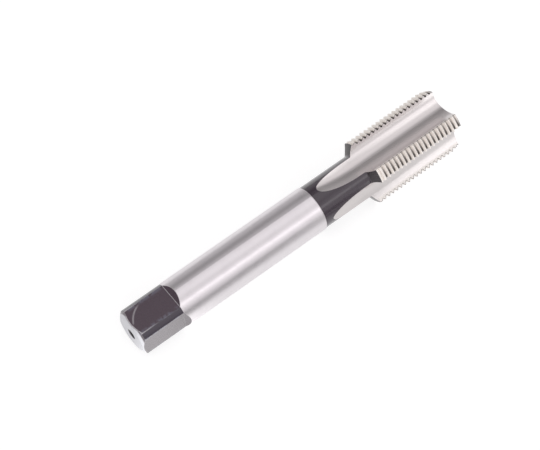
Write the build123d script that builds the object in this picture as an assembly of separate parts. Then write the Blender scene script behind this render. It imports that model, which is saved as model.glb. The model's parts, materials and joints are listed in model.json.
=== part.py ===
from build123d import *
import math
import os

# Straight-flute machine and hand tap, M20 x 1.5, right hand, ground from one bar.
#
# The tool is built along +X: X = 0 is the end face of the driving square, the
# thread is at the far end, and +Z is the normal of the square's upper flat.
# At the end it is turned into the pose in which it lies on a level surface.

# --- Driving sizes, in millimetres and degrees -------------------------------

overall_length = 112.0

# Driving end
square_across_flats = 11.2
square_length = 14.0
square_ramp_angle = 45.0
end_face_diameter = 10.6
end_cone_length = 1.0

# Shank and neck
shank_diameter = 14.0
shank_end = 63.0
neck_diameter = 13.6

# Thread, 60 degree form: the crest's flat as a share of the pitch, the groove's depth
# as a share of the sharp triangle's height
thread_diameter = 20.0
thread_pitch = 1.5
thread_flank_angle = 30.0
thread_crest_share = 1 / 8
thread_depth_share = 17 / 24
thread_length = 30.0
thread_run_in = 3.2
lead_length = 2.6
lead_front_diameter = 18.4
shoulder_angle = 60.0
shoulder_fillet = 0.4

# Flutes
flute_count = 4
land_angle = 24.0
core_diameter = 9.8
flute_radius = 4.4
flute_back_radius = 9.0
face_hook_angle = 8.0
grinding_wheel_radius = 45.0
flute_tip = 65.5

# Centre holes, one in each end
centre_mouth_diameter = 3.3
centre_cone_angle = 60.0
centre_pilot_diameter = 1.6
centre_pilot_length = 2.0

# --- Sizes that follow -------------------------------------------------------

shank_radius = shank_diameter / 2
neck_radius = neck_diameter / 2
thread_radius = thread_diameter / 2
core_radius = core_diameter / 2
thread_start = overall_length - thread_length
flute_spacing = 360.0 / flute_count

# Cutting solids reach this far past the metal that they take away.
clear_radius = thread_diameter
flute_overshoot = thread_radius / 2
runout_turn = 45.0


def polar(radius, angle):
    """A point of a cross-section, its angle turned from +Z in the cutting direction."""
    turn = math.radians(angle)
    return Vector(radius * math.sin(turn), radius * math.cos(turn))


# --- Turned blank ------------------------------------------------------------

shank_step = shank_radius - neck_radius
shoulder_run = (thread_radius - neck_radius) / math.tan(math.radians(shoulder_angle))
neck_end = thread_start - shoulder_run

blank_outline = Polyline(
    (0, 0),
    (0, end_face_diameter / 2),
    (end_cone_length, shank_radius),
    (shank_end, shank_radius),
    (shank_end + shank_step, neck_radius),
    (neck_end, neck_radius),
    (thread_start, thread_radius),
    (overall_length - lead_length, thread_radius),
    (overall_length, lead_front_diameter / 2),
    (overall_length, 0),
    close=True,
)
blank_section = make_face(blank_outline)
shoulder_corner = blank_section.vertices().sort_by_distance((neck_end, neck_radius))[0]
blank_section = fillet(shoulder_corner, shoulder_fillet)
blank = revolve(Plane.XZ * blank_section, Axis.X)

# --- Driving square: four flats, each ending in a ramp up to the shank --------

flat_height = square_across_flats / 2
ramp_rise = clear_radius - flat_height
ramp_run = ramp_rise / math.tan(math.radians(square_ramp_angle))
flat_outline = Polyline(
    (-clear_radius, flat_height),
    (square_length, flat_height),
    (square_length + ramp_run, clear_radius),
    (-clear_radius, clear_radius),
    close=True,
)
flat_cut = extrude(Plane.XZ * make_face(flat_outline), clear_radius, both=True)
flat_cuts = [Rot(X=90 * quarter) * flat_cut for quarter in range(4)]

# --- Centre holes --------------------------------------------------------------

centre_mouth = centre_mouth_diameter / 2
centre_pilot = centre_pilot_diameter / 2
cone_depth = (centre_mouth - centre_pilot) / math.tan(math.radians(centre_cone_angle / 2))
centre_outline = Polyline(
    (0, 0),
    (0, centre_mouth),
    (cone_depth, centre_pilot),
    (cone_depth + centre_pilot_length, centre_pilot),
    (cone_depth + centre_pilot_length + centre_pilot, 0),
    close=True,
)
rear_centre = revolve(Plane.XZ * make_face(centre_outline), Axis.X)
front_centre = Pos(X=overall_length) * Rot(Z=180) * rear_centre

# --- Thread: a helical groove, open at both ends --------------------------------

# Only the lands carry thread, so the groove is cut as one short arc a land. From
# each land to the next the arc turns by one flute and advances by its share of the
# pitch, which puts every arc on the same helix.
flank_slope = math.tan(math.radians(thread_flank_angle))
sharp_height = thread_pitch / 2 / flank_slope
crest_width = thread_pitch * thread_crest_share
groove_depth = sharp_height * thread_depth_share
groove_over = crest_width / 2
mouth_half = (thread_pitch - crest_width) / 2
over_half = mouth_half + groove_over * flank_slope
root_half = mouth_half - groove_depth * flank_slope

groove_arc = (land_angle + flute_spacing) / 2
arc_advance = thread_pitch * groove_arc / 360
arc_helix = Helix(pitch=thread_pitch, height=arc_advance, radius=thread_radius, direction=(1, 0, 0))
over_radius = thread_radius + groove_over
root_radius = thread_radius - groove_depth
groove_section = make_face(
    Polyline(
        (-over_half, over_radius),
        (over_half, over_radius),
        (root_half, root_radius),
        (-root_half, root_radius),
        close=True,
    )
)
groove_sweep = sweep(Plane.XZ * groove_section, path=arc_helix, is_frenet=True)
groove = Pos(X=-arc_advance / 2) * Rot(X=-groove_arc / 2) * groove_sweep
groove_count = math.ceil((thread_length / thread_pitch + 2) * flute_count)


def groove_on_land(step):
    """The arc on one land. The first crest, half a pitch before it, is on the thread's rear edge."""
    advance = thread_pitch * step / flute_count
    lift = groove_depth * max(0, 1 - advance / thread_run_in)
    on_land = Rot(X=flute_spacing * (step + 0.5)) * Pos(Z=lift) * groove
    return Pos(X=thread_start - thread_pitch / 2 + advance) * on_land


grooves = [groove_on_land(step) for step in range(groove_count)]

# --- Flutes --------------------------------------------------------------------

# In the flute's own section the first axis points in the cutting direction and
# the second outward through the middle of the flute. The cutting face is a line
# from the cutting edge, the floor an arc that it runs into, and the back of the
# next land a wider arc that carries the floor on to the heel.
half_gap = (flute_spacing - land_angle) / 2
face_angle = half_gap - face_hook_angle
edge = polar(thread_radius, -half_gap)
heel = polar(thread_radius, half_gap)

# The floor's centre lies one flute radius from the cutting face and from the core.
floor_distance = core_radius + flute_radius
face_normal = polar(1, 90 - face_angle)
floor_offset = flute_radius + edge.dot(face_normal)
floor_turn = math.degrees(math.asin(floor_offset / floor_distance)) - face_angle
floor_centre = polar(floor_distance, floor_turn)
face_foot_bearing = 270 - face_angle

# The back's centre is set so that its arc leaves the floor smoothly and meets the heel.
to_heel = heel - floor_centre
heel_bearing = math.degrees(math.atan2(to_heel.X, to_heel.Y))
centre_gap = flute_back_radius - flute_radius
gap_share = (centre_gap**2 + to_heel.length**2 - flute_back_radius**2) / (2 * centre_gap * to_heel.length)
back_bearing = heel_bearing - math.degrees(math.acos(gap_share))
back_centre = floor_centre + polar(centre_gap, back_bearing)
back_foot_bearing = back_bearing + 180
from_back = heel - back_centre
back_heel_bearing = math.degrees(math.atan2(from_back.X, from_back.Y))

face_foot = floor_centre + polar(flute_radius, face_foot_bearing)
floor_middle = floor_centre + polar(flute_radius, (face_foot_bearing + back_foot_bearing) / 2)
back_foot = floor_centre + polar(flute_radius, back_foot_bearing)
back_middle = back_centre + polar(flute_back_radius, (back_foot_bearing + back_heel_bearing) / 2)
face_top = edge + polar(flute_overshoot, -face_angle)
heel_top = heel + polar(flute_overshoot, half_gap)
flute_outline = Curve() + [
    Line(face_top, face_foot),
    ThreePointArc(face_foot, floor_middle, back_foot),
    ThreePointArc(back_foot, back_middle, heel),
    Line(heel, heel_top),
    Line(heel_top, face_top),
]

# The wheel stops over the point where the floor is still at its full depth, so the
# flute runs out along the wheel's rim and leaves the neck at the flute's tip.
tip_rise = neck_radius - core_radius
runout_length = math.sqrt(2 * grinding_wheel_radius * tip_rise - tip_rise**2)
wheel_stop = flute_tip + runout_length
flute_plane = Plane(origin=(wheel_stop, 0, 0), x_dir=(0, -1, 0), z_dir=(-1, 0, 0))
flute_section = flute_plane * make_face(flute_outline)
wheel_centre = flute_plane.from_local_coords(polar(core_radius + grinding_wheel_radius, floor_turn))
wheel_ahead = flute_plane.from_local_coords(polar(1, floor_turn - 90))
wheel_axis = Axis(wheel_centre, wheel_ahead - flute_plane.origin)
straight_flute = extrude(flute_section, overall_length - wheel_stop + flute_overshoot, dir=(1, 0, 0))
flute_runout = revolve(flute_section, wheel_axis, runout_turn)
flute = straight_flute + flute_runout
flutes = [Rot(X=flute_spacing * turn) * flute for turn in range(flute_count)]

# --- The tap -------------------------------------------------------------------

tap = blank - flat_cuts - [rear_centre, front_centre] - flutes
tap = tap - grooves

# --- Rest pose: on the rear of the thread and the rear of the ground shank -------

thread_drop = thread_radius * math.cos(math.radians(half_gap))
shank_contact = square_length + (shank_radius - flat_height) / math.tan(math.radians(square_ramp_angle))
rest_tilt = math.degrees(math.atan2(thread_drop - shank_radius, thread_start - shank_contact))
rest_turn = Rot(Y=-rest_tilt)
rest_box = (rest_turn * tap).bounding_box()
rest_pose = Pos(-rest_box.center().X, 0, -rest_box.min.Z) * rest_turn
tap = rest_pose * tap
tap.label = "tap"

os.makedirs("parts", exist_ok=True)
export_step(tap, "parts/tap.step")
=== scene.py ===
import json
import math
from types import SimpleNamespace

import bpy
from mathutils import Matrix, Vector

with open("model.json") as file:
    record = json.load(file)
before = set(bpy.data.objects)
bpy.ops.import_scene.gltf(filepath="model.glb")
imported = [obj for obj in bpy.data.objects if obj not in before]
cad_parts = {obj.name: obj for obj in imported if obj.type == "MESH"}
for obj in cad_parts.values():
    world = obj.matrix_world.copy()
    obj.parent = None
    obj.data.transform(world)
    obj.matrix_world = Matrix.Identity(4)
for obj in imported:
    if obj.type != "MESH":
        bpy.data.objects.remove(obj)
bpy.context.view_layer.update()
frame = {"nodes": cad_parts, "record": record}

MM = 0.001

# The tap's own axis, from the record: it starts at the square's end face and
# points at the cutting end. The tap lies slightly tilted, so it isn't level.
mounts = {mount["name"]: mount for mount in frame["record"]["mounts"]}
TAP_START = Vector(mounts["rear_centre"]["pos_m"])
TAP_AXIS = Vector(mounts["cutting_thread"]["axis"])
TAP_SIDE = Vector((0, -1, 0))
TAP_TOP = TAP_SIDE.cross(TAP_AXIS)

# Places along the tap, in millimetres, where one finish meets another.
SQUARE_END = 14.0
RAMP_END = 15.6
SHANK_END = 63.2
SHOULDER_START = 80.35
THREAD_START = 82.0
FRONT_END = 112.0

# Radii, in millimetres.
END_FACE_INNER = 1.62
HOLE_RADIUS = 1.66
END_FACE_RADIUS = 5.3
END_FINISH_RADIUS = 6.3
NECK_RADIUS = 6.8
SHANK_RADIUS = 7.0
RIM_RADIUS = 8.5
TOOTH_RADIUS = 8.85
THREAD_ROOT = 9.08

# The cone behind the end face rises this much a millimetre.
END_CONE_SLOPE = 1.7
# The square's flats, in millimetres: from the axis, and from their middle to a corner.
# A flat's finish starts a little under it, and goes a little past its edges.
FLAT_HEIGHT = 5.6
FLAT_HALF_WIDTH = 4.2
FLAT_UNDER = 0.2
FLAT_PAST_RAMP = 0.02
FLAT_PAST_CORNER = 0.12
# A land, in degrees turned about the tap from straight above, and the next land's place.
HEEL_ANGLE = 33.0
LAND_ANGLE = 24.0
LAND_SPACING = 90.0
FULL_TURN = 360.0
# The side of a land by its cutting edge, as a share of the land from its heel.
EDGE_SIDE = 0.45
# The smallest radius, in millimetres, that a division takes.
LEAST_RADIUS = 0.1
# A turned surface's normal leans round the tap by less than this share, and an end's
# lies along the tap by more than this share.
TURNED_LEAN = 0.3
END_FACING = 0.9
# A surface's finish starts this far under it, in millimetres.
SKIN = 0.04
NECK_SKIN = 0.06
# How deep an end face's own finish goes, in millimetres, and where the painted shade inside a
# hole starts.
FACE_DEPTH = 0.06
HOLE_DEPTH = 0.12
# The heel's rim, with its painted highlight, starts this many degrees from a flute's middle.
RIM_TURN = 25.0
# Dark in the thread's grooves: how far it rises from their root, in millimetres, and
# how strong it is. Towards the cutting edge both grow by the second pair.
GROOVE_RISE, GROOVE_DARK = 0.1, 0.55
GROOVE_RISE_GAIN, GROOVE_DARK_GAIN = 0.18, 0.4
# A tooth's edge is where a normal rounded by this radius, in metres, turns so far from
# the surface's own that their dot product is under EDGE_BEND.
EDGE_ROUNDING = 0.24 * MM
EDGE_BEND = 0.988

# Wear and painted highlights on the square's upper flat, in millimetres. A curved scuff is part
# of a circle with this centre, along and across the tap. The end edges are rubbed, and the
# ramp and long edges carry a painted highlight, over these widths.
SCUFF_CENTRE = (7.67, 3.5)
SCUFF_RADIUS = 7.31
SCUFF_HALF_WIDTH = 0.2
SCUFF_END = 5.0
SCUFF_SIDE = 0.4
END_RUB_START = 0.1
END_RUB_END = 0.34
RAMP_HIGHLIGHT_WIDTH = 0.09
LONG_HIGHLIGHT_WIDTH = 0.16
LONG_HIGHLIGHT_END = 4.5
SMUDGE_START = 3.5
# How much of its colour each kind of wear and painted highlight shows, and how much the other
# flats have.
SCUFF_SHARE = 0.7
SCUFF_FAINTEST = 0.25
END_RUB_SHARE = 0.9
LONG_HIGHLIGHT_SHARE = 0.6
SMUDGE_SHARE = 0.7
OTHER_END_RUB = 0.2
OTHER_RAMP_HIGHLIGHT = 0.25

# Colours, linear. Each finish comes with the colour of the marks in it.
GROUND_STEEL = (0.83, 0.796, 0.816, 1)
GROUND_RINGS = (0.5, 0.48, 0.5, 1)
GROUND_BLOTCH = (0.6, 0.55, 0.59, 1)
FLUTE_STEEL = (0.73, 0.695, 0.69, 1)
FLUTE_LINES = (0.5, 0.46, 0.45, 1)
# Painted highlight on the flutes' heel rims at the thread.
FLUTE_RIM_HIGHLIGHT = (0.9, 0.86, 0.82, 1)
THREAD_STEEL = (0.95, 0.9, 0.85, 1)
THREAD_GRAIN = (0.75, 0.7, 0.65, 1)
THREAD_GROOVE = (0.07, 0.055, 0.05, 1)
# Painted shade along the teeth's outline at the flutes.
TOOTH_SHADE_LINE = (0.045, 0.045, 0.05, 1)
END_STEEL = (0.7, 0.7, 0.73, 1)
END_RINGS = (0.4, 0.4, 0.43, 1)
OXIDE = (0.045, 0.021, 0.038, 1)
OXIDE_WORN = (0.06, 0.034, 0.054, 1)
NECK_OXIDE = (0.032, 0.019, 0.032, 1)
CORNER_OXIDE = (0.029, 0.019, 0.036, 1)
SHOULDER_OXIDE = (0.017, 0.009, 0.013, 1)
# Painted shade inside the centre holes.
HOLE_SHADE = (0.012, 0.009, 0.011, 1)
# Rubbed steel, for the scuff and rubbed edges, and for the painted edge highlights.
RUBBED_AND_HIGHLIT = (0.6, 0.58, 0.6, 1)
SMUDGE = (0.13, 0.125, 0.17, 1)

# How much of their colour the marks show.
RING_SHARE = 0.12
BLOTCH_SHARE = 0.12
LINE_SHARE = 0.25
GRAIN_SHARE = 0.3
END_RING_SHARE = 0.3
WORN_SHARE = 0.6
# Over these levels of the noise the ground steel is blotched, edges are rubbed and
# flats are smudged.
BLOTCH_LEVEL = 0.56
RUB_LEVEL = 0.38
SMUDGE_LEVEL = 0.5

# Roughness, and how much the marks add to it.
GROUND_ROUGHNESS, RING_ROUGHNESS = 0.24, 0.12
OXIDE_ROUGHNESS, BLOTCH_ROUGHNESS = 0.2, 0.15
THREAD_ROUGHNESS = 0.35
END_ROUGHNESS = 0.4
# The thread is pale and matt, and the flutes' rims carry a pale painted highlight, so they are
# only part metal.
THREAD_METAL = 0.35
RIM_METAL = 0.1
# The shoulder's oxide has this much less of the glossy coat.
SHOULDER_DULLNESS = 0.5

# The room round the tap, set so that the shank mirrors the bands of the photograph: how
# bright it is by direction, in degrees turned about the tap from straight above,
# positive towards the camera's side.
ROOM = [
    (-180, 0.92),
    (-140, 1.22),
    (-112, 1.1),
    (-96, 0.38),
    (-76, 0.54),
    (-48, 0.25),
    (-34, 0.4),
    (-15, 0.98),
    (6, 1.0),
    (21, 0.74),
    (40, 0.92),
    (44, 1.8),
    (48.5, 1.8),
    (54, 0.88),
    (70, 0.84),
    (80, 0.26),
    (96, 0.26),
    (110, 0.95),
    (180, 0.92),
]
ROOM_TINT = (1, 0.975, 0.99)
WHITE = (1, 1, 1, 1)

# Soft lights beside and over the thread, seen only in reflections: place, size, tilt
# about X in degrees and brightness.
REFLECTORS = {
    "low_reflector": ((0.175, -0.15, 0.03), (0.2, 0.06), 90, 1.3),
    "high_reflector": ((0.14, -0.051, 0.119), (0.13, 0.04), 25, 0.85),
}

# The floor: half its size in metres, and its brightness as the eye sees it and as
# mirrors see it: far off, what is added near the tap, and what more beside the square.
# Near the tap is over NEAR_X or over NEAR_Y. Beside the square, on the camera's side,
# is also under both of its own limits. All four are in metres.
FLOOR_HALF = 3.0
NEAR_X, NEAR_Y = 0.06, -0.045
BESIDE_SQUARE_X, BESIDE_SQUARE_Y = -0.038, -0.002
FLOOR_GREY = (0.35, 0.35, 0.35, 1)
FLOOR_SEEN = 0.78
FLOOR_FAR = 0.12
FLOOR_NEAR = 0.53
FLOOR_BY_SQUARE = 0.55

# Camera, from the photograph's perspective. The lens and sensor are in millimetres.
CAMERA_PLACE = Vector((-0.15054, -0.18735, 0.41549))
CAMERA_LOOK = Vector((0.30688, 0.40300, -0.86222))
CAMERA_UP = Vector((0.53541, 0.67589, 0.50647))
CAMERA_LENS = 111.61
CAMERA_SENSOR = 36


class Nodes:
    """Short ways to add maths to a node tree."""

    def __init__(self, tree):
        self.tree = tree

    def add(self, kind, **settings):
        node = self.tree.nodes.new(kind)
        for name, value in settings.items():
            setattr(node, name, value)
        return node

    def put(self, value, socket):
        if isinstance(value, bpy.types.NodeSocket):
            self.tree.links.new(value, socket)
        else:
            socket.default_value = value

    def maths(self, operation, *values):
        node = self.add("ShaderNodeMath", operation=operation)
        for value, socket in zip(values, node.inputs):
            self.put(value, socket)
        return node.outputs[0]

    def plus(self, first, second):
        return self.maths("ADD", first, second)

    def minus(self, first, second):
        return self.maths("SUBTRACT", first, second)

    def times(self, first, second):
        return self.maths("MULTIPLY", first, second)

    def size_of(self, value):
        return self.maths("ABSOLUTE", value)

    def vector(self, operation, *values):
        node = self.add("ShaderNodeVectorMath", operation=operation)
        for value, socket in zip(values, node.inputs):
            self.put(value, socket)
        gives_number = operation in ("DOT_PRODUCT", "LENGTH")
        return node.outputs["Value" if gives_number else 0]

    def scaled(self, vector, scale):
        node = self.add("ShaderNodeVectorMath", operation="SCALE")
        self.put(vector, node.inputs[0])
        self.put(scale, node.inputs["Scale"])
        return node.outputs[0]

    def point(self, *values):
        node = self.add("ShaderNodeCombineXYZ")
        for value, socket in zip(values, node.inputs):
            self.put(value, socket)
        return node.outputs[0]

    def parts(self, vector):
        node = self.add("ShaderNodeSeparateXYZ")
        self.put(vector, node.inputs[0])
        return node.outputs

    def above(self, value, limit, blur):
        """1 where value is over limit, 0 where it is under, blurred between."""
        node = self.add("ShaderNodeMapRange", interpolation_type="SMOOTHSTEP")
        self.put(value, node.inputs["Value"])
        self.put(self.minus(limit, blur), node.inputs["From Min"])
        self.put(self.plus(limit, blur), node.inputs["From Max"])
        return node.outputs["Result"]

    def below(self, value, limit, blur):
        return self.without(self.above(value, limit, blur))

    def without(self, mask):
        return self.minus(1.0, mask)

    def all_of(self, first, *others):
        result = first
        for mask in others:
            result = self.times(result, mask)
        return result

    def any_of(self, first, *others):
        result = first
        for mask in others:
            result = self.maths("MAXIMUM", result, mask)
        return result

    def mix_with(self, kind, sockets, share, first, second):
        node = self.add("ShaderNodeMix", data_type=kind)
        into_first, into_second, out = sockets
        self.put(share, node.inputs[0])
        self.put(first, node.inputs[into_first])
        self.put(second, node.inputs[into_second])
        return node.outputs[out]

    def mix(self, share, first, second):
        """A colour that goes from first to second as share goes from 0 to 1."""
        return self.mix_with("RGBA", (6, 7, 2), share, first, second)

    def blend(self, share, first, second):
        """A number that goes from first to second as share goes from 0 to 1."""
        return self.mix_with("FLOAT", (2, 3, 0), share, first, second)

    def noise(self, vector, scale, detail, roughness):
        node = self.add("ShaderNodeTexNoise")
        self.put(vector, node.inputs["Vector"])
        node.inputs["Scale"].default_value = scale
        node.inputs["Detail"].default_value = detail
        node.inputs["Roughness"].default_value = roughness
        return node.outputs["Fac"]


def new_material(name):
    material = bpy.data.materials.new(name)
    material.use_nodes = True
    return material, Nodes(material.node_tree), material.node_tree.nodes["Principled BSDF"]


def measure(nodes):
    """Where a point is on the tap, in millimetres, and which way its surface faces."""
    here = nodes.add("ShaderNodeTexCoord").outputs["Object"]
    offset = nodes.scaled(nodes.vector("SUBTRACT", here, TAP_START), 1 / MM)
    along = nodes.vector("DOT_PRODUCT", offset, TAP_AXIS)
    side = nodes.vector("DOT_PRODUCT", offset, TAP_SIDE)
    up = nodes.vector("DOT_PRODUCT", offset, TAP_TOP)
    radius = nodes.maths("SQRT", nodes.plus(nodes.times(side, side), nodes.times(up, up)))

    # Round the tap: 0 at a land's heel and 1 at its cutting edge, and degrees from
    # the middle of a flute.
    turn = nodes.maths("DEGREES", nodes.maths("ARCTAN2", side, up))
    past_heel = nodes.maths("MODULO", nodes.plus(turn, FULL_TURN - HEEL_ANGLE), LAND_SPACING)
    half = LAND_SPACING / 2
    past_land = nodes.maths("MODULO", nodes.plus(turn, FULL_TURN + half), LAND_SPACING)

    # Past the end face, with the cone behind it taken off.
    off_face = nodes.maths("MAXIMUM", nodes.minus(radius, END_FACE_RADIUS), 0.0)
    cone_run = nodes.maths("DIVIDE", off_face, END_CONE_SLOPE)

    # A surface is turned where its normal doesn't lean round the tap.
    normal = nodes.add("ShaderNodeNewGeometry").outputs["Normal"]
    facing_side = nodes.vector("DOT_PRODUCT", normal, TAP_SIDE)
    facing_up = nodes.vector("DOT_PRODUCT", normal, TAP_TOP)
    facing_round = nodes.minus(nodes.times(facing_side, up), nodes.times(facing_up, side))
    lean = nodes.maths("DIVIDE", facing_round, nodes.maths("MAXIMUM", radius, LEAST_RADIUS))

    return SimpleNamespace(
        along=along,
        side=side,
        up=up,
        radius=radius,
        place=nodes.point(along, side, up),
        from_heel=nodes.maths("DIVIDE", past_heel, LAND_ANGLE),
        in_flute=nodes.minus(past_land, half),
        across=nodes.maths("MINIMUM", nodes.size_of(side), nodes.size_of(up)),
        from_end=nodes.minus(along, cone_run),
        normal=normal,
        facing_end=nodes.size_of(nodes.vector("DOT_PRODUCT", normal, TAP_AXIS)),
        turned=nodes.below(nodes.size_of(lean), TURNED_LEAN, blur=0.1),
    )


def square_finishes(nodes, spot):
    """Masks for the driving end: its end face, and the flats and corners of its square."""
    end_face = nodes.all_of(
        nodes.above(spot.radius, END_FACE_INNER, blur=0.03),
        nodes.below(spot.from_end, FACE_DEPTH, blur=0.03),
        nodes.below(spot.radius, END_FINISH_RADIUS, blur=0.2),
    )
    on_square = nodes.below(spot.along, SQUARE_END, blur=0.03)
    on_ramp = nodes.all_of(
        nodes.below(spot.along, RAMP_END, blur=0.05),
        nodes.below(spot.radius, SHANK_RADIUS - SKIN, blur=0.01),
    )
    square = nodes.all_of(nodes.any_of(on_square, on_ramp), nodes.without(end_face))
    flat = nodes.all_of(
        square,
        nodes.below(spot.along, SQUARE_END + FLAT_PAST_RAMP, blur=0.02),
        nodes.below(spot.across, FLAT_HALF_WIDTH + FLAT_PAST_CORNER, blur=0.04),
    )
    return SimpleNamespace(
        end_face=end_face,
        square=square,
        flat=flat,
        upper_flat=nodes.all_of(flat, nodes.above(spot.up, FLAT_HEIGHT - FLAT_UNDER, blur=0.1)),
        corner=nodes.all_of(square, nodes.above(spot.radius, SHANK_RADIUS - SKIN, blur=0.02)),
    )


def thread_grooves(nodes, spot, thread):
    """The dark in the thread's grooves. It is deeper and wider towards the cutting edge."""
    edge_side = nodes.above(spot.from_heel, EDGE_SIDE, blur=EDGE_SIDE)
    rise_gain = nodes.times(edge_side, GROOVE_RISE_GAIN)
    dark_radius = nodes.plus(THREAD_ROOT + GROOVE_RISE, rise_gain)
    darkness = nodes.plus(GROOVE_DARK, nodes.times(edge_side, GROOVE_DARK_GAIN))
    return nodes.all_of(thread, nodes.below(spot.radius, dark_radius, blur=0.16), darkness)


def tooth_outline(nodes, spot, flute):
    """A thin line of painted shade where the teeth end at a flute."""
    bevel = nodes.add("ShaderNodeBevel", samples=8)
    bevel.inputs["Radius"].default_value = EDGE_ROUNDING
    bend = nodes.vector("DOT_PRODUCT", bevel.outputs[0], spot.normal)
    return nodes.all_of(
        flute,
        nodes.above(spot.along, THREAD_START, blur=0.03),
        nodes.above(spot.radius, TOOTH_RADIUS, blur=0.1),
        nodes.below(bend, EDGE_BEND, blur=0.01),
    )


def cutting_finishes(nodes, spot):
    """Masks for the cutting end: its neck, shoulder, thread and flutes."""
    past_shank = nodes.above(spot.along, SHANK_END, blur=0.03)
    on_thread = nodes.above(spot.along, THREAD_START, blur=0.03)
    neck = nodes.all_of(
        past_shank,
        nodes.below(spot.along, THREAD_START, blur=0.03),
        nodes.above(spot.radius, NECK_RADIUS - NECK_SKIN, blur=0.02),
        spot.turned,
    )
    on_crest = nodes.above(spot.radius, THREAD_ROOT - SKIN, blur=0.02)
    thread = nodes.all_of(on_thread, on_crest, spot.turned)
    flute = nodes.all_of(
        past_shank,
        nodes.without(nodes.any_of(neck, thread)),
        nodes.below(spot.facing_end, END_FACING, blur=0.05),
    )
    return SimpleNamespace(
        neck=neck,
        shoulder=nodes.all_of(neck, nodes.above(spot.along, SHOULDER_START, blur=0.1)),
        thread=thread,
        groove=thread_grooves(nodes, spot, thread),
        flute=flute,
        tooth_shade_line=tooth_outline(nodes, spot, flute),
        # A painted highlight along each flute's heel rim at the thread.
        rim_highlight=nodes.all_of(
            flute,
            on_thread,
            nodes.above(spot.in_flute, RIM_TURN, blur=5.0),
            nodes.above(spot.radius, RIM_RADIUS, blur=0.35),
        ),
    )


# The inside of the centre holes, where shade is painted dark.
def centre_holes(nodes, spot):
    return nodes.all_of(
        nodes.below(spot.radius, HOLE_RADIUS, blur=0.02),
        nodes.above(spot.along, HOLE_DEPTH, blur=0.06),
        nodes.below(spot.along, FRONT_END - HOLE_DEPTH, blur=0.06),
    )


def surface_marks(nodes, spot):
    """Marks of grinding and turning, and the unevenness of the surface."""

    def stretched(along, across):
        return nodes.point(
            nodes.times(spot.along, along),
            nodes.times(spot.side, across),
            nodes.times(spot.up, across),
        )

    rings = stretched(along=9.0, across=0.25)
    flute_lines = stretched(along=0.12, across=5.0)
    end_rings = nodes.point(nodes.times(spot.radius, 5.0))
    return SimpleNamespace(
        rings=nodes.noise(rings, scale=1.0, detail=4.0, roughness=0.6),
        flute_lines=nodes.noise(flute_lines, scale=1.0, detail=4.0, roughness=0.6),
        end_rings=nodes.noise(end_rings, scale=1.0, detail=3.0, roughness=0.6),
        blotch=nodes.noise(spot.place, scale=0.35, detail=4.0, roughness=0.55),
        grain=nodes.noise(spot.place, scale=9.0, detail=3.0, roughness=0.6),
        patches=nodes.noise(spot.place, scale=0.8, detail=2.0, roughness=0.5),
        streaks=nodes.noise(spot.place, scale=3.0, detail=3.0, roughness=0.6),
    )


def steel_colour(nodes, ends, cutting, marks):
    """Ground shank, flutes with a painted highlight on their rims, thread and end face."""
    blotches = nodes.above(marks.blotch, BLOTCH_LEVEL, blur=0.12)
    steel = nodes.mix(nodes.times(marks.rings, RING_SHARE), GROUND_STEEL, GROUND_RINGS)
    steel = nodes.mix(nodes.times(blotches, BLOTCH_SHARE), steel, GROUND_BLOTCH)
    flutes = nodes.mix(nodes.times(marks.flute_lines, LINE_SHARE), FLUTE_STEEL, FLUTE_LINES)
    steel = nodes.mix(cutting.flute, steel, flutes)
    steel = nodes.mix(cutting.rim_highlight, steel, FLUTE_RIM_HIGHLIGHT)
    # Painted shade: a thin dark line along the teeth's ends.
    steel = nodes.mix(cutting.tooth_shade_line, steel, TOOTH_SHADE_LINE)
    ridges = nodes.mix(nodes.times(marks.grain, GRAIN_SHARE), THREAD_STEEL, THREAD_GRAIN)
    ridges = nodes.mix(cutting.groove, ridges, THREAD_GROOVE)
    steel = nodes.mix(cutting.thread, steel, ridges)
    end_steel = nodes.mix(nodes.times(marks.end_rings, END_RING_SHARE), END_STEEL, END_RINGS)
    return nodes.mix(ends.end_face, steel, end_steel)


def oxide_and_hole_shade_colour(nodes, ends, cutting, hole_shade, marks):
    """The dark square, neck and shoulder, and the painted shade in the centre holes."""
    dark = nodes.mix(nodes.times(marks.blotch, WORN_SHARE), OXIDE, OXIDE_WORN)
    dark = nodes.mix(cutting.neck, dark, NECK_OXIDE)
    dark = nodes.mix(ends.corner, dark, CORNER_OXIDE)
    dark = nodes.mix(hole_shade, dark, HOLE_SHADE)
    return nodes.mix(cutting.shoulder, dark, SHOULDER_OXIDE)


def rubbed_and_highlit_edges(nodes, spot, ends, marks):
    """Where the flats' edges are bright: the end edges rubbed in patches, and the ramp edges
    and parts of the long edges with a painted highlight.
    """
    flat, upper_flat = ends.flat, ends.upper_flat
    end_rub = nodes.all_of(
        flat,
        nodes.above(spot.from_end, END_RUB_START, blur=0.06),
        nodes.below(spot.from_end, END_RUB_END, blur=0.08),
        nodes.above(marks.patches, RUB_LEVEL, blur=0.14),
        nodes.any_of(upper_flat, OTHER_END_RUB),
        END_RUB_SHARE,
    )
    # Painted highlight along each flat's edge at the ramp.
    ramp_highlight = nodes.all_of(
        flat,
        nodes.above(spot.along, SQUARE_END - RAMP_HIGHLIGHT_WIDTH, blur=0.04),
        nodes.any_of(upper_flat, OTHER_RAMP_HIGHLIGHT),
    )
    # Painted highlight along the upper flat's long edges.
    long_edge_highlight = nodes.all_of(
        upper_flat,
        nodes.above(spot.across, FLAT_HALF_WIDTH - LONG_HIGHLIGHT_WIDTH, blur=0.05),
        nodes.below(spot.along, LONG_HIGHLIGHT_END, blur=3.5),
        LONG_HIGHLIGHT_SHARE,
    )
    return nodes.any_of(end_rub, ramp_highlight, long_edge_highlight)


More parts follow.
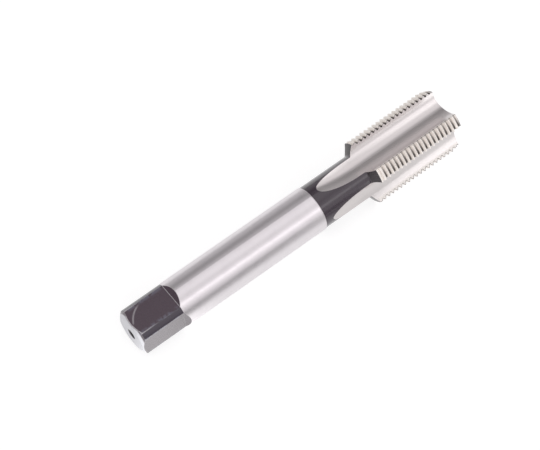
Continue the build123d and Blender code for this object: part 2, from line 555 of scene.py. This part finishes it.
def curved_scuff(nodes, spot, ends, marks):
    """One scuff near the end of the upper flat, part of a circle."""
    from_centre = nodes.point(
        nodes.minus(spot.along, SCUFF_CENTRE[0]),
        nodes.minus(spot.side, SCUFF_CENTRE[1]),
    )
    off_circle = nodes.minus(nodes.vector("LENGTH", from_centre), SCUFF_RADIUS)
    return nodes.all_of(
        ends.upper_flat,
        nodes.below(nodes.size_of(off_circle), SCUFF_HALF_WIDTH, blur=0.17),
        nodes.below(spot.along, SCUFF_END, blur=1.0),
        nodes.below(spot.side, SCUFF_SIDE, blur=0.6),
        nodes.blend(marks.streaks, SCUFF_FAINTEST, 1.0),
        SCUFF_SHARE,
    )


def worn(nodes, dark, spot, ends, marks):
    """The dark colour with the square's wear, smudges and the scuff, and its rubbed edges and
    painted edge highlights.
    """
    smudge = nodes.all_of(
        ends.flat,
        nodes.above(spot.across, SMUDGE_START, blur=0.5),
        nodes.above(marks.patches, SMUDGE_LEVEL, blur=0.08),
        SMUDGE_SHARE,
    )
    dark = nodes.mix(smudge, dark, SMUDGE)
    dark = nodes.mix(curved_scuff(nodes, spot, ends, marks), dark, RUBBED_AND_HIGHLIT)
    return nodes.mix(rubbed_and_highlit_edges(nodes, spot, ends, marks), dark, RUBBED_AND_HIGHLIT)


def tap_material():
    material, nodes, shader = new_material("tap_steel")
    spot = measure(nodes)
    ends = square_finishes(nodes, spot)
    cutting = cutting_finishes(nodes, spot)
    hole_shade = centre_holes(nodes, spot)
    # The oxide, and the painted shade in the centre holes: dark and not metal.
    oxide_and_hole_shade = nodes.any_of(ends.square, cutting.neck, hole_shade)
    marks = surface_marks(nodes, spot)

    # Colour
    steel = steel_colour(nodes, ends, cutting, marks)
    dark = oxide_and_hole_shade_colour(nodes, ends, cutting, hole_shade, marks)
    dark = worn(nodes, dark, spot, ends, marks)
    nodes.put(nodes.mix(oxide_and_hole_shade, steel, dark), shader.inputs["Base Color"])

    # Metal, and a thin glossy coat on the oxide
    metal = nodes.blend(cutting.thread, nodes.without(oxide_and_hole_shade), THREAD_METAL)
    metal = nodes.blend(cutting.rim_highlight, metal, RIM_METAL)
    nodes.put(metal, shader.inputs["Metallic"])
    shader.inputs["IOR"].default_value = 1.45
    dull = nodes.any_of(nodes.times(cutting.shoulder, SHOULDER_DULLNESS), hole_shade)
    nodes.put(nodes.minus(oxide_and_hole_shade, dull), shader.inputs["Coat Weight"])
    shader.inputs["Coat Roughness"].default_value = 0.12
    shader.inputs["Coat IOR"].default_value = 1.52

    # Roughness
    ground = nodes.plus(GROUND_ROUGHNESS, nodes.times(marks.rings, RING_ROUGHNESS))
    steel = nodes.blend(cutting.thread, ground, THREAD_ROUGHNESS)
    steel = nodes.blend(ends.end_face, steel, END_ROUGHNESS)
    dark = nodes.plus(OXIDE_ROUGHNESS, nodes.times(marks.blotch, BLOTCH_ROUGHNESS))
    nodes.put(nodes.blend(oxide_and_hole_shade, steel, dark), shader.inputs["Roughness"])

    # Fine relief
    bump = nodes.add("ShaderNodeBump")
    bump.inputs["Strength"].default_value = 0.15
    bump.inputs["Distance"].default_value = 0.02 * MM
    nodes.put(nodes.blend(oxide_and_hole_shade, marks.rings, marks.grain), bump.inputs["Height"])
    nodes.put(bump.outputs["Normal"], shader.inputs["Normal"])
    return material


def studio_world():
    """The room that the tap reflects. The camera itself sees it white."""
    world = bpy.data.worlds.new("studio")
    bpy.context.scene.world = world
    world.use_nodes = True
    nodes = Nodes(world.node_tree)
    direction = nodes.parts(nodes.add("ShaderNodeTexCoord").outputs["Generated"])
    turn = nodes.maths("ARCTAN2", nodes.times(direction["Y"], -1.0), direction["Z"])
    share = nodes.plus(nodes.maths("DIVIDE", turn, math.tau), 0.5)
    ramp = nodes.add("ShaderNodeValToRGB")
    ramp.color_ramp.interpolation = "EASE"
    while len(ramp.color_ramp.elements) < len(ROOM):
        ramp.color_ramp.elements.new(0.5)
    for element, (angle, level) in zip(ramp.color_ramp.elements, ROOM):
        element.position = (angle + FULL_TURN / 2) / FULL_TURN
        element.color = (*(level * part for part in ROOM_TINT), 1)
    nodes.put(share, ramp.inputs[0])
    seen = nodes.add("ShaderNodeLightPath").outputs["Is Camera Ray"]
    background = world.node_tree.nodes["Background"]
    nodes.put(nodes.mix(seen, ramp.outputs[0], WHITE), background.inputs["Color"])


def reflector(name, place, size, tilt, level):
    data = bpy.data.lights.new(name, "AREA")
    data.shape = "RECTANGLE"
    data.size, data.size_y = size
    data.energy = level * math.pi * data.size * data.size_y
    lamp = bpy.data.objects.new(name, data)
    bpy.context.scene.collection.objects.link(lamp)
    lamp.location = place
    lamp.rotation_euler = (math.radians(tilt), 0, 0)
    lamp.visible_diffuse = False


def floor_material():
    """White to the eye. Mirrors see it dim far off, lighter near the tap and lightest
    beside the square."""
    material, nodes, shader = new_material("floor_white")
    shader.inputs["Base Color"].default_value = FLOOR_GREY
    shader.inputs["Roughness"].default_value = 1.0
    shader.inputs["Specular IOR Level"].default_value = 0.0
    shader.inputs["Emission Color"].default_value = WHITE
    place = nodes.parts(nodes.add("ShaderNodeTexCoord").outputs["Object"])
    near = nodes.any_of(
        nodes.above(place["Y"], NEAR_Y, blur=0.03),
        nodes.above(place["X"], NEAR_X, blur=0.02),
    )
    by_square = nodes.all_of(
        near,
        nodes.below(place["X"], BESIDE_SQUARE_X, blur=0.012),
        nodes.below(place["Y"], BESIDE_SQUARE_Y, blur=0.006),
    )
    mirrored = nodes.plus(FLOOR_FAR, nodes.times(near, FLOOR_NEAR))
    mirrored = nodes.plus(mirrored, nodes.times(by_square, FLOOR_BY_SQUARE))
    path = nodes.add("ShaderNodeLightPath").outputs
    in_mirror = nodes.any_of(path["Is Glossy Ray"], path["Is Transmission Ray"])
    strength = nodes.blend(in_mirror, FLOOR_SEEN, mirrored)
    nodes.put(strength, shader.inputs["Emission Strength"])
    return material


def floor():
    mesh = bpy.data.meshes.new("floor")
    signs = [(-1, -1), (1, -1), (1, 1), (-1, 1)]
    corners = [(x * FLOOR_HALF, y * FLOOR_HALF, 0) for x, y in signs]
    mesh.from_pydata(corners, [], [(0, 1, 2, 3)])
    mesh.materials.append(floor_material())
    plane = bpy.data.objects.new("floor", mesh)
    bpy.context.scene.collection.objects.link(plane)


def camera():
    data = bpy.data.cameras.new("camera")
    data.lens = CAMERA_LENS
    data.sensor_width = CAMERA_SENSOR
    data.clip_start = 0.01
    data.clip_end = 20
    eye = bpy.data.objects.new("camera", data)
    bpy.context.scene.collection.objects.link(eye)
    back = -CAMERA_LOOK.normalized()
    right = CAMERA_UP.cross(back).normalized()
    up = back.cross(right)
    turn = Matrix((right, up, back)).transposed().to_4x4()
    eye.matrix_world = Matrix.Translation(CAMERA_PLACE) @ turn
    bpy.context.scene.camera = eye


tap = frame["nodes"]["tap"]
tap.material_slots[0].material = tap_material()
studio_world()
for name, settings in REFLECTORS.items():
    reflector(name, *settings)
floor()
camera()
bpy.context.scene.view_settings.view_transform = "Standard"
